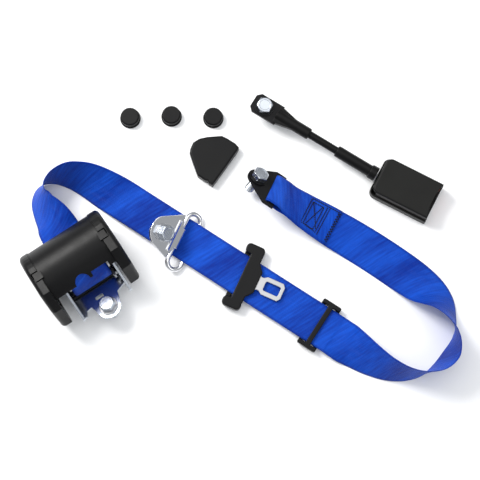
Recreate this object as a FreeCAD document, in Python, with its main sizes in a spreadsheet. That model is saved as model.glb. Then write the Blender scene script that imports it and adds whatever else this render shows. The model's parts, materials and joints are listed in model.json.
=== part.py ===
"""Three-point inertia-reel belt kit with blue webbing, laid out flat. Millimetres; the floor is z = 0."""
import FreeCAD, Part
import math
import os
import re

import Sketcher
from FreeCAD import Matrix, Placement, Rotation, Vector

SIZES = {
    # webbing, which sets the width of everything it runs through
    "webbing_width": 48,
    "webbing_thick": 1.2,
    "strap_gap": 0.4,
    "edge_gap": 1.2,
    "sewn_length": 75,
    "strap_height": 7.4,
    # 7/16 inch anchor bolts with a 17 mm hexagon
    "bolt_radius": 5.55,
    "shoulder_radius": 5.75,
    "shank_length": 25,
    "head_flats": 17,
    "head_height": 8,
    "tip_chamfer": 1.2,
    "washer_radius": 11,
    "washer_thick": 1.6,
    "running_gap": 0.05,
    "face_gap": 0.1,
    "anchor_sheet": 3,
    # retractor
    "roll_radius": 34,
    "hub_radius": 11,
    "hub_overhang": 0.6,
    "axle_radius": 5,
    "reel_side_gap": 12,
    "reel_sheet": 2.8,
    "cover_radius": 38,
    "window_edge": 13,
    "cover_wall": 2.2,
    "cover_left": 44,
    "cover_right": 35.5,
    "cap_radius": 39,
    "cap_left": 12,
    "cap_right": 13.5,
    "cap_tail": 46,
    "cap_wall": 2,
    "ear_reach": 51,
    "ear_radius": 15,
    "plate_drop": 35,
    "ratchet_radius": 25,
    "ratchet_thick": 2.5,
    "ratchet_teeth": 20,
    "tooth_depth": 2.4,
    "pawl_pin_radius": 2,
    "ball_radius": 3.5,
    # pillar loop
    "wire_radius": 2.9,
    "wire_pitch": 19,
    "wire_length": 76.5,
    "sleeve_wall": 2.2,
    "sleeve_length": 25,
    "loop_plate_length": 43,
    "loop_plate_width": 56,
    "loop_hole_reach": 24,
    "loop_hole_side": 3.5,
    # tongue
    "blade_width": 22,
    "blade_length": 31,
    "blade_thick": 2.6,
    "window_length": 19,
    "window_width": 11.5,
    "blade_rim": 4,
    "blade_neck": 16,
    "tongue_lobe": 12,
    "tongue_depth": 23,
    "tongue_bar": 6,
    "tongue_over": 5,
    "tongue_under": 3.6,
    # keeper
    "keeper_depth": 24,
    "keeper_bar": 5,
    "keeper_middle": 6,
    "keeper_rail": 5,
    "keeper_thick": 2.6,
    # anchor plate
    "anchor_bar": 7,
    "anchor_slot": 5,
    "eye_gap": 1.2,
    "anchor_reach": 31,
    "anchor_round": 12.4,
    # buckle and its stalk
    "buckle_length": 75,
    "buckle_width": 50,
    "buckle_depth": 26,
    "buckle_wall": 2.2,
    "buckle_step": 2,
    "scoop_radius": 82,
    "scoop_depth": 4,
    "ferrule_radius": 6.9,
    "ferrule_length": 46,
    "taper_length": 24,
    "taper_thick": 8,
    "cable_radius": 4.5,
    "cable_length": 37,
    "boot_length": 9,
    "tab_reach": 17,
    "tab_width": 25,
    "tab_tail": 15,
    "button_height": 7,
    "spring_wire": 0.5,
    "spring_radius": 2.6,
    # loose covers
    "bolt_cap_radius": 12.25,
    "bolt_cap_height": 10,
    "cap_bore_gap": 0.08,
    "loop_cover_height": 12,
    "loop_cover_wall": 2,
}

doc = FreeCAD.newDocument("belt_kit")
dims = doc.addObject("Spreadsheet::Sheet", "dims")
for row, (name, size) in enumerate(SIZES.items(), start=1):
    dims.set(f"A{row}", name)
    dims.set(f"B{row}", str(size))
    dims.setAlias(f"B{row}", name)
doc.recompute()

NODES = {}


# Expressions -----------------------------------------------------------------------------------

def full(expression):
    """The expression with each size's name pointed at its cell."""
    def cell(word):
        return "dims." + word[0] if word[0] in SIZES else word[0]
    return re.sub(r"[a-z]\w*", cell, str(expression))


def value(expression):
    """What the expression comes to, for places that can't hold an expression."""
    return float(dims.evalExpression(full(expression)))


def bind(item, **expressions):
    for name, expression in expressions.items():
        item.setExpression(name, full(expression))
    return item


def place(item, at):
    for axis, expression in zip("xyz", at):
        item.setExpression("Placement.Base." + axis, full(expression))
    return item


# Shapes ----------------------------------------------------------------------------------------

TURNS = {"x": Rotation(Vector(0, 1, 0), 90), "y": Rotation(Vector(1, 0, 0), -90), "z": Rotation()}


def box(size, at):
    """A block centred on at."""
    item = bind(doc.addObject("Part::Box", "block"), Length=size[0], Width=size[1], Height=size[2])
    return place(item, [f"{centre} - ({length}) / 2" for centre, length in zip(at, size)])


def along(at, length, axis):
    """The start of a length centred on at."""
    return [f"{centre} - ({length}) / 2" if name == axis else centre for name, centre in zip("xyz", at)]


def rod(radius, length, at, axis="z"):
    """A cylinder centred on at."""
    item = bind(doc.addObject("Part::Cylinder", "rod"), Radius=radius, Height=length)
    item.Placement = Placement(Vector(), TURNS[axis])
    return place(item, along(at, length, axis))


def cone(radius_low, radius_high, length, at, axis="z"):
    item = bind(doc.addObject("Part::Cone", "cone"), Radius1=radius_low, Radius2=radius_high, Height=length)
    item.Placement = Placement(Vector(), TURNS[axis])
    return place(item, along(at, length, axis))


def ball(radius, at):
    return place(bind(doc.addObject("Part::Sphere", "ball"), Radius=radius), at)


def hexagon(flats, height, at):
    """A hexagonal prism standing on at."""
    item = bind(doc.addObject("Part::Prism", "hexagon"), Circumradius=f"({flats}) / sqrt(3)", Height=height)
    item.Polygon = 6
    return place(item, at)


def fuse(*items):
    item = doc.addObject("Part::MultiFuse", "joined")
    item.Shapes = list(items)
    item.Refine = True
    return item


def cut(base, *tools):
    item = doc.addObject("Part::Cut", "cut")
    item.Base = base
    item.Tool = tools[0] if len(tools) == 1 else fuse(*tools)
    item.Refine = True
    return item


def tube(outer, inner, length, at, axis="z"):
    return cut(rod(outer, length, at, axis), rod(inner, f"{length} + 2", at, axis))


def rounded(item, radius, pick):
    """The item with the picked edges rounded."""
    doc.recompute()
    size = value(radius)
    edges = [(number, size, size) for number, edge in enumerate(item.Shape.Edges, start=1) if pick(edge)]
    fillet = doc.addObject("Part::Fillet", "rounded")
    fillet.Base = item
    fillet.Edges = edges
    doc.recompute()
    return fillet


def runs(axis):
    """Picks straight edges along an axis."""
    index = "xyz".index(axis)

    def pick(edge):
        if edge.Curve.TypeId != "Part::GeomLine":
            return False
        return abs(abs(edge.tangentAt(edge.FirstParameter)[index]) - 1) < 1e-6
    return pick


def rims(axis, level):
    """Picks edges that lie wholly at one level of an axis."""
    index = "xyz".index(axis)

    def pick(edge):
        box_low = (edge.BoundBox.XMin, edge.BoundBox.YMin, edge.BoundBox.ZMin)[index]
        box_high = (edge.BoundBox.XMax, edge.BoundBox.YMax, edge.BoundBox.ZMax)[index]
        return abs(box_low - value(level)) < 1e-3 and abs(box_high - value(level)) < 1e-3
    return pick


def outline_sketch(body, outline, plane):
    """A closed sketch on one of the body's planes: corners are pairs of expressions."""
    sketch = body.newObject("Sketcher::SketchObject", "outline")
    origin_plane = [item for item in body.Origin.OriginFeatures if item.Role == plane + "_Plane"][0]
    sketch.AttachmentSupport = [(origin_plane, "")]
    sketch.MapMode = "FlatFace"
    corners = [Vector(value(across), value(up), 0) for across, up in outline]
    count = len(corners)
    for index in range(count):
        sketch.addGeometry(Part.LineSegment(corners[index], corners[(index + 1) % count]), False)
    for index in range(count):
        sketch.addConstraint(Sketcher.Constraint("Coincident", index, 2, (index + 1) % count, 1))
    for index, pair in enumerate(outline):
        for kind, expression in zip(("DistanceX", "DistanceY"), pair):
            number = sketch.addConstraint(Sketcher.Constraint(kind, -1, 1, index, 1, value(expression)))
            sketch.setExpression(f"Constraints[{number}]", full(expression))
    return sketch


def plate(outline, thick, plane="XY", level="0"):
    """A padded outline, whose thickness runs to both sides of the level."""
    body = doc.addObject("PartDesign::Body", "sheet")
    sketch = outline_sketch(body, outline, plane)
    sign = "-1" if plane == "XZ" else "1"
    sketch.setExpression("AttachmentOffset.Base.z", full(f"{sign} * ({level})"))
    pad = body.newObject("PartDesign::Pad", "pad")
    pad.Profile = sketch
    pad.setExpression("Length", full(thick))
    pad.Midplane = True
    return body


def spun(outline):
    """A revolved outline about Z: corners are (radius, height) pairs of expressions."""
    body = doc.addObject("PartDesign::Body", "turned")
    turn = body.newObject("PartDesign::Revolution", "turn")
    turn.Profile = outline_sketch(body, outline, "XZ")
    turn.ReferenceAxis = (turn.Profile[0], ["V_Axis"])
    turn.Angle = 360
    return body


def polygon_round(radius, first, last, steps):
    """Corners on an arc about the origin, from one angle to another."""
    corners = []
    for step in range(steps + 1):
        turn = math.radians(first + (last - first) * step / steps)
        corners.append((f"({radius}) * {math.cos(turn):.9f}", f"({radius}) * {math.sin(turn):.9f}"))
    return corners


def coil(radius, wire, length, turns, at, axis="x"):
    """A coil spring as a swept wire, starting at at."""
    helix = Part.makeHelix(value(length) / turns, value(length), value(radius))
    start = Vector(value(radius), 0, 0)
    circle = Part.Wire(Part.makeCircle(value(wire), start, Vector(0, 1, 0)))
    item = doc.addObject("Part::Feature", "coil")
    item.Shape = Part.Wire(helix).makePipeShell([circle], True, True)
    item.Placement = Placement(Vector(*[value(part) for part in at]), TURNS[axis])
    return item


def node(label, item, group):
    """Names a finished sub-part. A bare primitive is wrapped, so that its own place stays bound."""
    if item.TypeId in ("Part::Cylinder", "Part::Box", "Part::Sphere"):
        wrapped = doc.addObject("Part::Refine", "solid")
        wrapped.Source = item
        item = wrapped
    item.Label = label
    NODES[label] = (item, group)
    return item


# Frames of the groups --------------------------------------------------------------------------

def frame(origin, along_x, towards_y):
    """A placement with X along one direction and Y as near as can be to another."""
    x_axis = Vector(*along_x).normalize()
    z_axis = x_axis.cross(Vector(*towards_y)).normalize()
    y_axis = z_axis.cross(x_axis)
    numbers = [number for row in zip(x_axis, y_axis, z_axis, origin) for number in row]
    return Placement(Matrix(*numbers, 0, 0, 0, 1))


def heading(degrees):
    return Vector(math.cos(math.radians(degrees)), math.sin(math.radians(degrees)), 0)


REEL_YAW = 33.7
REEL_PLACE = (-185.4, -36.4)
STRAP_YAW = -33


def reel_pitch():
    """How far the reel leans, with its round caps and the tip of its bolt on the floor."""
    reach = value("ear_reach - bolt_radius + tip_chamfer")
    drop = value("plate_drop + reel_sheet") + free_shank("reel_sheet")
    radius = value("cap_radius")
    return math.degrees(math.atan2(drop, reach) - math.asin(radius / math.hypot(drop, reach)))


def free_shank(sheet):
    """How far a bolt stands out of the sheet that it holds."""
    return value(f"shank_length - washer_thick - 2 * face_gap - {sheet}")


def reel_frame():
    turn = Rotation(Vector(0, 0, 1), REEL_YAW) * Rotation(Vector(1, 0, 0), -reel_pitch())
    return Placement(Vector(*REEL_PLACE, value("cap_radius")), turn)


REEL = reel_frame()


# Webbing ---------------------------------------------------------------------------------------

# The strap's middle line after the reel, as (x, y, lift, roll). The lift is the lower selvedge's height.
# Roll 0 has the outer selvedge on the left of the way the strap runs, and -90 has it underneath.
LEVEL = value("strap_height - webbing_thick / 2")
ROUTE = [
    (-218, 13, 19, -22),
    (-229.5, 28, 8, -46),
    (-235.3, 42, 3, -58),
    (-233, 54.5, 1, -72),
    (-222, 64, 0.2, -92),
    (-205, 68.7, 0.2, -114),
    (-190, 67, 0.2, -129),
    (-175, 61.8, 0.4, -143),
    (-155, 51.2, 1.4, -160),
    (-137, 40.8, 4.6, -174),
    (-118, 28.6, LEVEL, -180),
    (-96, 14.3, LEVEL, -180),
    (-74, 0, LEVEL, -180),
    (-30, -28.6, LEVEL, -180),
    (14, -57.15, LEVEL, -180),
    (58, -85.7, LEVEL, -180),
    (80, -100, LEVEL, -180),
    (102, -114.3, LEVEL, -180),
    (108, -118.2, LEVEL, -180),
    (119, -126.1, 5, -172),
    (130, -134, 0.8, -151),
    (149, -147.5, 0.2, -133),
    (168, -158, 0.2, -119),
    (188.5, -164, 0.2, -105),
    (208.5, -163.5, 0.2, -91),
    (226.5, -155.5, 0.2, -76),
    (238.5, -143, 0.2, -72),
    (243.8, -131, 0.2, -80),
    (245.5, -119.5, 0.2, -91),
    (244, -107, 0.2, -104),
    (238.3, -93, 0.2, -118),
    (227, -76.5, 0.2, -142),
    (209, -59.2, 0.2, -168),
    (187, -41.8, 0.2, -179),
    (153.4, -18.6, 0.2, -180),
    (125.5, -1.2, 0.4, -178),
    (101, 13, 1.2, -170),
    (79, 25.6, 1.8, -159),
    (63, 35.5, 3.2, -150),
    (48, 44.8, 5.4, -144),
]
REEL_MOUTH = 3


def smooth(before, start, end, after, share):
    """A point between start and end on the curve through all four rows."""
    blended = []
    for a, b, c, d in zip(before, start, end, after):
        bend = 2 * a - 5 * b + 4 * c - d
        twist = 3 * b - a - 3 * c + d
        blended.append(0.5 * (2 * b + share * (c - a + share * (bend + share * twist))))
    return blended


def strap_line(fine):
    """Places along the strap as (spot, way, roll), a fixed number to each span of the route."""
    half = value("webbing_width / 2")
    rows = []
    for reach in ("roll_radius + strap_gap", "cover_radius + 5"):
        spot = REEL.multVec(Vector(0, value(reach), REEL_MOUTH))
        rows.append((spot.x, spot.y, spot.z, 0))
    rows += ROUTE
    padded = rows[:1] + rows + rows[-1:]
    dense = []
    for index in range(len(rows) - 1):
        dense += [smooth(*padded[index:index + 4], step / fine) for step in range(fine)]
    dense.append(rows[-1])
    spots = []
    for across, up, lift, roll in dense:
        bank = math.radians(roll)
        edge = half * abs(math.sin(bank)) + value("webbing_thick / 2") * abs(math.cos(bank))
        spots.append(Vector(across, up, lift + edge))
    ways = [(after - here).normalize() for here, after in zip(spots[:1] + spots[:-1], spots[1:] + spots[-1:])]
    return [(spot, way, row[3]) for spot, way, row in zip(spots, ways, dense)]


def across_strap(way, roll):
    """The direction from the strap's middle to its outer selvedge."""
    left = Vector(0, 0, 1).cross(way).normalize()
    rise = way.cross(left)
    return left * math.cos(math.radians(roll)) + rise * math.sin(math.radians(roll))


STRAP = strap_line(3)


def strap_section(spot, way, roll, thick):
    side = across_strap(way, roll) * (value("webbing_width") / 2)
    up = side.cross(way).normalize() * (thick / 2)
    return [spot + side + up, spot - side + up, spot - side - up, spot + side - up]


def ruled_solid(sections):
    """A solid with straight-ruled faces from each section's corners to the next one's."""
    faces = [Part.Face(Part.makePolygon(end + end[:1])) for end in (sections[0], sections[-1])]
    for here, after in zip(sections, sections[1:]):
        for corner in range(len(here)):
            following = (corner + 1) % len(here)
            edges = [Part.makeLine(section[corner], section[following]) for section in (here, after)]
            faces.append(Part.makeRuledSurface(*edges))
    shell = Part.Shell(faces)
    shell.sewShape()
    solid = Part.Solid(shell)
    if solid.Volume < 0:
        solid.reverse()
    return solid


def left_to_go(places):
    """How much strap is left after each place."""
    ahead = [0.0]
    for here, after in zip(places[-2::-1], places[::-1]):
        ahead.append(ahead[-1] + (after[0] - here[0]).Length)
    return ahead[::-1]


def webbing():
    single = value("webbing_thick")
    sections = []
    for (spot, way, roll), ahead in zip(STRAP, left_to_go(STRAP)):
        thick = single * 2 if ahead < value("sewn_length") else single
        sections.append(strap_section(spot, way, roll, thick))
    strap = doc.addObject("Part::Feature", "webbing")
    strap.Shape = ruled_solid(sections)
    node("webbing", strap, Placement())


END_SPOT, END_WAY, END_ROLL = STRAP[-1]
EYE = frame(END_SPOT, END_WAY, across_strap(END_WAY, END_ROLL) * -1)


def webbing_eye():
    """The sewn eye round the anchor plate's bar, in the frame of the strap's end."""
    gap = "eye_gap"
    inner = f"(anchor_sheet / 2 + {gap})"
    outer = f"({inner} + webbing_thick)"
    run = f"(anchor_bar + 2 * {gap})"
    start = f"({inner} + webbing_thick + 0.2)"
    shells = []
    for radius, extra in ((outer, "0"), (inner, "4")):
        wide = f"webbing_width + {extra}"
        middle = (f"{start} + {run} / 2 - {inner} / 2", 0, 0)
        block = box((f"{run} - {inner}", wide, f"2 * {radius}"), middle)
        near = rod(radius, wide, (start, 0, 0), "y")
        far = rod(radius, wide, (f"{start} + {run} - {inner}", 0, 0), "y")
        shells.append(fuse(block, near, far))
    node("webbing_eye", cut(*shells), EYE)


# Retractor -------------------------------------------------------------------------------------

FLANGE = "(webbing_width / 2 + reel_side_gap / 2)"
RATCHET_LEVEL = "(webbing_width / 2 + hub_overhang + ratchet_thick / 2)"
AXLE_HOLE = "(axle_radius + running_gap)"


def reel_side(side):
    """One upright flange of the frame, with the axle's hole."""
    level = f"{side} * ({FLANGE} + reel_sheet / 2)"
    front = [("cover_radius * 0.4", "-plate_drop"), ("cover_radius * 0.62", "-plate_drop * 0.75")]
    top = polygon_round("(cover_radius - cover_wall - 0.8)", 40, 150, 9)
    back = [("-22", "-8"), ("-ear_reach", "-plate_drop + 4"), ("-ear_reach", "-plate_drop")]
    return plate(front + top + back, "reel_sheet", "YZ", level)


def reel_plate():
    """The back plate, drawn in to the ear that the bolt holds."""
    half = f"({FLANGE} + reel_sheet)"
    lobe = polygon_round("ear_radius", -172, -8, 12)
    lobe = [(across, f"{up} - ear_reach") for across, up in lobe]
    left = [(f"-{half}", "-ear_reach + 3"), (f"-{half} + 6", "-ear_reach + 3")]
    left += [(f"-{half} + 9", "-ear_reach + 9"), ("-ear_radius - 2", "-ear_reach + 10")]
    left += [("-ear_radius - 0.3", "-ear_reach + 4")]
    right = [("ear_radius + 3", "-ear_reach + 10"), (half, "-ear_reach + 16")]
    front = [(half, "cap_radius * 0.2"), (f"-{half}", "cap_radius * 0.2")]
    level = "-plate_drop - reel_sheet / 2"
    sheet = plate(left + lobe + right + front, "reel_sheet", "XY", level)
    hole = rod("shoulder_radius + running_gap", "3 * reel_sheet", (0, "-ear_reach", level))
    slot = box((10, 4, 12), (-3, "-ear_reach + 16.5", level))
    return cut(sheet, hole, slot)


def reel_metal():
    sides = [reel_side(side) for side in (-1, 1)]
    holes = rod(AXLE_HOLE, f"2 * {FLANGE} + 20", (0, 0, 0), "x")
    node("reel_frame", cut(fuse(reel_plate(), *sides), holes), REEL)
    bar = f"2 * {FLANGE}"
    node("spacer_bar", rod(2, bar, (0, -19, "-plate_drop + 2.6"), "x"), REEL)


def reel_cover():
    """The curved cover, with the strap's slot in front and a scalloped edge over the roll."""
    length = "(cover_left + cover_right)"
    middle = "((cover_right - cover_left) / 2)"
    shell = tube("cover_radius", "cover_radius - cover_wall", length, (middle, 0, 0), "x")
    behind = box((f"{length} + 2", 60, 60), (middle, "-cover_radius * 0.2 - 30", "window_edge - 30"))
    below = box((f"{length} + 2", 90, 30), (middle, 0, "-cover_radius * 0.72 - 15"))
    slot = box(("webbing_width + 6", 20, 9), (0, "cover_radius", REEL_MOUTH))
    bumps = [rod(9, 40, (-8, "-cover_radius", "window_edge + 1"), "y"),
             box((22, 40, 12), ("webbing_width / 2 - 8", "-cover_radius", "window_edge"))]
    cover = cut(shell, behind, below, slot, *bumps)
    wings = []
    for edge in ("-cover_left - 2.4", "cover_right + 2.4"):
        wings.append(box((10, 10.8, 2.4), (edge, "-cover_radius * 0.3", "cover_radius * 0.955")))
    node("reel_cover", fuse(cover, *wings), REEL)


def end_cap(label, side, edge, thick, shrink):
    """A hollow end cap: round in front, chamfered at the ear's end, stepped in on its face."""
    start = f"({edge} + face_gap)"
    level = f"{side} * ({start} + {thick} / 2)"
    tail = [("-cap_tail + 12", "cap_radius * 0.86"), ("-cap_tail", "cap_radius * 0.2")]
    tail += [("-cap_tail", "-cap_radius * 0.75"), ("-cap_tail + 8", "-cap_radius")]
    body = plate(tail + polygon_round("cap_radius", -90, 96, 24), thick, "YZ", level)
    face = f"{side} * ({start} + {thick})"
    body = rounded(body, shrink, rims("x", face))
    inside = f"{side} * ({start} + ({thick} - cap_wall) / 2)"
    hollow = rod("cap_radius - cap_wall - 2", f"{thick} - cap_wall", (inside, 0, 0), "x")
    window = box((10, 12, 9), (f"{side} * ({start} + 3.5)", "-cover_radius * 0.3", "cap_radius * 0.98"))
    node(label, cut(body, hollow, window), REEL)


def spool():
    """The spool turns in the frame: hub and axle, ratchet wheels, roll and the sensor's toothed disc."""
    half = "webbing_width / 2"
    hub = rod("hub_radius", f"2 * ({half} + hub_overhang)", (0, 0, 0), "x")
    left = "(cover_left + 8)"
    right = f"({FLANGE} + reel_sheet + 10)"
    axle = rod("axle_radius", f"{right} + {left}", (f"({right} - {left}) / 2", 0, 0), "x")
    node("spool", fuse(hub, axle), REEL)
    roll = tube("roll_radius", "hub_radius", "webbing_width", (0, 0, 0), "x")
    node("webbing_roll", roll, REEL)
    for label, side in (("ratchet_left", -1), ("ratchet_right", 1)):
        level = f"{side} * {RATCHET_LEVEL}"
        wheel = plate(ratchet("ratchet_radius", "tooth_depth"), "ratchet_thick", "YZ", level)
        node(label, cut(wheel, rod("axle_radius", 90, (0, 0, 0), "x")), REEL)
    level = f"{FLANGE} + reel_sheet + 7"
    disc = plate(ratchet("ratchet_radius - 5", 1.6), 2, "YZ", level)
    node("sensor_disc", cut(disc, rod("axle_radius", 120, (0, 0, 0), "x")), REEL)


def ratchet(radius, depth):
    """Saw teeth: each rises along the rim and drops straight back."""
    count = int(SIZES["ratchet_teeth"])
    corners = []
    for tooth in range(count):
        for reach, share in ((f"{radius} - {depth}", tooth), (radius, tooth + 0.9)):
            turn = 2 * math.pi * share / count
            corners.append((f"({reach}) * {math.cos(turn):.9f}", f"({reach}) * {math.sin(turn):.9f}"))
    return corners


PAWL_PIVOT = (-24, -27)


def lock_parts():
    """The pawl swings up into the right ratchet on a pin in the frame's side."""
    pivot_y, pivot_z = PAWL_PIVOT
    heel = [(-4, 3), (-4, -3), (4, -3)]
    nose = [(18, -2.4), (19.5, 0.6), (3, 4)]
    arm = [(pivot_y + along_y, pivot_z + up) for along_y, up in heel + nose]
    pawl = plate(arm, "ratchet_thick", "YZ", RATCHET_LEVEL)
    eye = rod("pawl_pin_radius + running_gap", 8, (RATCHET_LEVEL, pivot_y, pivot_z), "x")
    node("lock_pawl", cut(pawl, eye), REEL)
    pin = f"({FLANGE} - {RATCHET_LEVEL} + ratchet_thick / 2 + 0.6)"
    node("pawl_pin", rod("pawl_pin_radius", pin, (f"{FLANGE} - {pin} / 2", pivot_y, pivot_z), "x"), REEL)


SENSOR = ("(webbing_width / 2 + reel_side_gap / 2 + reel_sheet + 8)", 2, -27)


def sensor():
    """A ball in a cup under a lever, whose tip lies just under the toothed disc."""
    across, along_y, level = SENSOR
    cup = box((12, 12, 7), (across, along_y, f"{level} - 3"))
    dish = ball("ball_radius + 0.3", (across, along_y, f"{level} + 0.6"))
    node("sensor_housing", cut(cup, dish), REEL)
    node("sensor_ball", ball("ball_radius", (across, along_y, f"{level} + 0.6")), REEL)
    lever = box((5, 17, 1.2), (across, f"{along_y} + 3.5", f"{level} + ball_radius + 1.4"))
    hinge = rod(1.2, 5, (across, f"{along_y} + 12", f"{level} + ball_radius + 1.4"), "x")
    node("sensor_lever", fuse(lever, hinge), REEL)


def clock_spring():
    """The flat spiral spring between the axle and the left cap's wall."""
    turns = 5
    steps = 24
    inner = value("axle_radius") + 2
    outer = value("cap_radius - cap_wall - 2") - 3
    thick = 0.6
    inside = []
    outside = []
    for step in range(turns * steps + 1):
        turn = 2 * math.pi * step / steps
        radius = inner + (outer - inner) * step / (turns * steps)
        way = Vector(0, math.cos(turn), math.sin(turn))
        inside.append(way * radius)
        outside.append(way * (radius + thick))
    ring = Part.makePolygon(inside + outside[::-1] + inside[:1])
    spring = doc.addObject("Part::Feature", "clock_spring")
    width = value("cap_left - cap_wall") - 4
    spring.Shape = Part.Face(ring).extrude(Vector(width, 0, 0))
    spring.Placement = Placement(Vector(-value("cover_left + face_gap") - width - 1, 0, 0), Rotation())
    node("clock_spring", spring, REEL)


# Bolts -----------------------------------------------------------------------------------------

def bolt(label, group, sheet):
    """A hexagon bolt through a sheet whose top is z = 0 in the group; the free end is threaded."""
    seat = "(washer_thick + 2 * face_gap)"
    shoulder = f"({seat} + {sheet})"
    free = f"(shank_length - {shoulder} - tip_chamfer)"
    head = hexagon("head_flats", "head_height - 1", (0, 0, seat))
    crown = cone("head_flats / 2 + 0.6", "head_flats / 2 - 0.6", 1, (0, 0, f"{seat} + head_height - 0.5"))
    neck = rod("shoulder_radius", shoulder, (0, 0, f"{seat} - {shoulder} / 2"))
    shank = rod("bolt_radius", free, (0, 0, f"-{sheet} - {free} / 2"))
    tip_middle = (0, 0, f"-{sheet} - {free} - tip_chamfer / 2")
    tip = cone("bolt_radius - tip_chamfer", "bolt_radius", "tip_chamfer", tip_middle)
    node(label + "_bolt", fuse(head, crown, neck, shank, tip), group)
    washer_middle = (0, 0, "face_gap + washer_thick / 2")
    washer = tube("washer_radius", "shoulder_radius + running_gap", "washer_thick", washer_middle)
    node(label + "_washer", washer, group)


REEL_BOLT = REEL * Placement(Vector(0, -value("ear_reach"), -value("plate_drop")), Rotation())


# Pillar loop -----------------------------------------------------------------------------------

LOOP_YAW = -24.6
LOOP_PLACE = (-66.8, -8.6)
SLEEVE = "(wire_radius + running_gap + sleeve_wall)"
NEAR_HEIGHT = value(f"strap_height + webbing_thick / 2 + strap_gap + {SLEEVE}")
FAR_HEIGHT = value("strap_height - webbing_thick / 2 - strap_gap - wire_radius")
LOOP_TILT = math.degrees(math.asin((NEAR_HEIGHT - FAR_HEIGHT) / value("wire_pitch")))
LOOP_TURN = Rotation(Vector(0, 0, 1), LOOP_YAW) * Rotation(Vector(0, 1, 0), LOOP_TILT)
LOOP = Placement(Vector(*LOOP_PLACE, (NEAR_HEIGHT + FAR_HEIGHT) / 2), LOOP_TURN)
NEAR_BAR = LOOP.multVec(Vector(-value("wire_pitch") / 2, 0, 0))
PLATE_LIFT = 42
PLATE_TURN = Rotation(Vector(0, 0, 1), LOOP_YAW + 180) * Rotation(Vector(0, 1, 0), -PLATE_LIFT)
LOOP_PLATE = Placement(NEAR_BAR, PLATE_TURN)


def wire_loop():
    """A closed ring of round wire: two bars joined by half circles. X spans the bars."""
    half = "(wire_length / 2 - wire_radius - wire_pitch / 2)"
    bars = [rod("wire_radius", f"2 * {half}", (f"{side} * wire_pitch / 2", 0, 0), "y") for side in (-1, 1)]
    bends = []
    for side in (-1, 1):
        ring = bind(doc.addObject("Part::Torus", "bend"), Radius1="wire_pitch / 2", Radius2="wire_radius")
        reach = "wire_length"
        keep = box((reach, reach, reach), (0, f"{side} * wire_length / 2", 0))
        bend = doc.addObject("Part::Common", "bend")
        bend.Base = ring
        bend.Tool = keep
        bends.append(place(bend, (0, f"{side} * {half}", 0)))
    node("wire_loop", fuse(*bars, *bends), LOOP)


def loop_plate():
    """The hanger plate, curled round the near bar. Its frame has the bar on Y and the plate along X."""
    level = f"({SLEEVE} - anchor_sheet / 2)"
    tip = [(f"{across} + loop_hole_reach", f"{up} + loop_hole_side")
           for across, up in polygon_round("loop_plate_length - loop_hole_reach", -62, 62, 12)]
    near = [(2, "-sleeve_length / 2"), (7, "-loop_plate_width / 2")]
    far = [(7, "loop_plate_width / 2"), (2, "sleeve_length / 2")]
    sheet = plate(near + tip + far, "anchor_sheet", "XY", level)
    sleeve = rod(SLEEVE, "sleeve_length", (0, 0, 0), "y")
    fill = box((4, "sleeve_length", "anchor_sheet"), (2, 0, level))
    bead = rod(2.4, "loop_plate_width - 18", (10, 0, f"{level} + 0.4"), "y")
    bore = rod("wire_radius + running_gap", "loop_plate_width + 40", (0, 0, 0), "y")
    hole = rod("shoulder_radius + running_gap", 20, ("loop_hole_reach", "loop_hole_side", level))
    node("loop_plate", cut(fuse(sheet, sleeve, fill, bead), bore, hole), LOOP_PLATE)


PILLAR_HOLE = Vector(value("loop_hole_reach"), value("loop_hole_side"), value(SLEEVE))
PILLAR_BOLT = LOOP_PLATE * Placement(PILLAR_HOLE, Rotation())


# Tongue and keeper -----------------------------------------------------------------------------

TONGUE = Placement(Vector(3, -50, SIZES["strap_height"]), Rotation(Vector(0, 0, 1), -24.5))
BAR_LEVEL = "(webbing_thick / 2 + strap_gap)"


BLADE_LEVEL = f"({BAR_LEVEL} + 2.2)"
BLADE_START = "(tongue_depth / 2 + 7)"
BLADE_TIP = f"({BLADE_START} + blade_length)"


def tongue_cover():
    """The moulded grip: front bar over the strap, rear bar under it, and a lobe at each end."""
    reach = "(webbing_width / 2 + edge_gap + 2.6)"
    wide = f"2 * {reach} + 4"
    front_middle = ("tongue_depth / 4 - 1.5", 0, f"{BAR_LEVEL} + tongue_over / 2")
    front = box(("tongue_depth / 2 + 3", wide, "tongue_over"), front_middle)
    rear_middle = ("(tongue_bar - tongue_depth) / 2 + 1", 0, f"-{BAR_LEVEL} - tongue_under / 2")
    rear = box(("tongue_bar", wide, "tongue_under"), rear_middle)
    tall = f"(tongue_over + tongue_under + 2 * {BAR_LEVEL})"
    middle = "(tongue_over - tongue_under) / 2"
    lobes = []
    for side in (-1, 1):
        block = box(("tongue_depth", "tongue_lobe", tall), (0, f"{side} * ({reach} + tongue_lobe / 2)", middle))
        block = rounded(block, 5, runs("z"))
        lobes.append(rounded(block, 1.2, rims("z", f"{BAR_LEVEL} + tongue_over")))
    right = [("tongue_depth / 2 - 2", f"-{reach} + 4"), (BLADE_START, "-blade_width / 2 - 2")]
    left = [(BLADE_START, "blade_width / 2 + 2"), ("tongue_depth / 2 - 2", f"{reach} - 4")]
    hood = plate(right + left, "tongue_over", "XY", f"{BAR_LEVEL} + tongue_over / 2")
    room = ("blade_length + 40", "blade_width + 0.1", "blade_thick + 0.02")
    pocket = box(room, ("blade_length / 2 + 14", 0, BLADE_LEVEL))
    node("tongue_cover", cut(fuse(front, rear, hood, *lobes), pocket), TONGUE)


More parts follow.
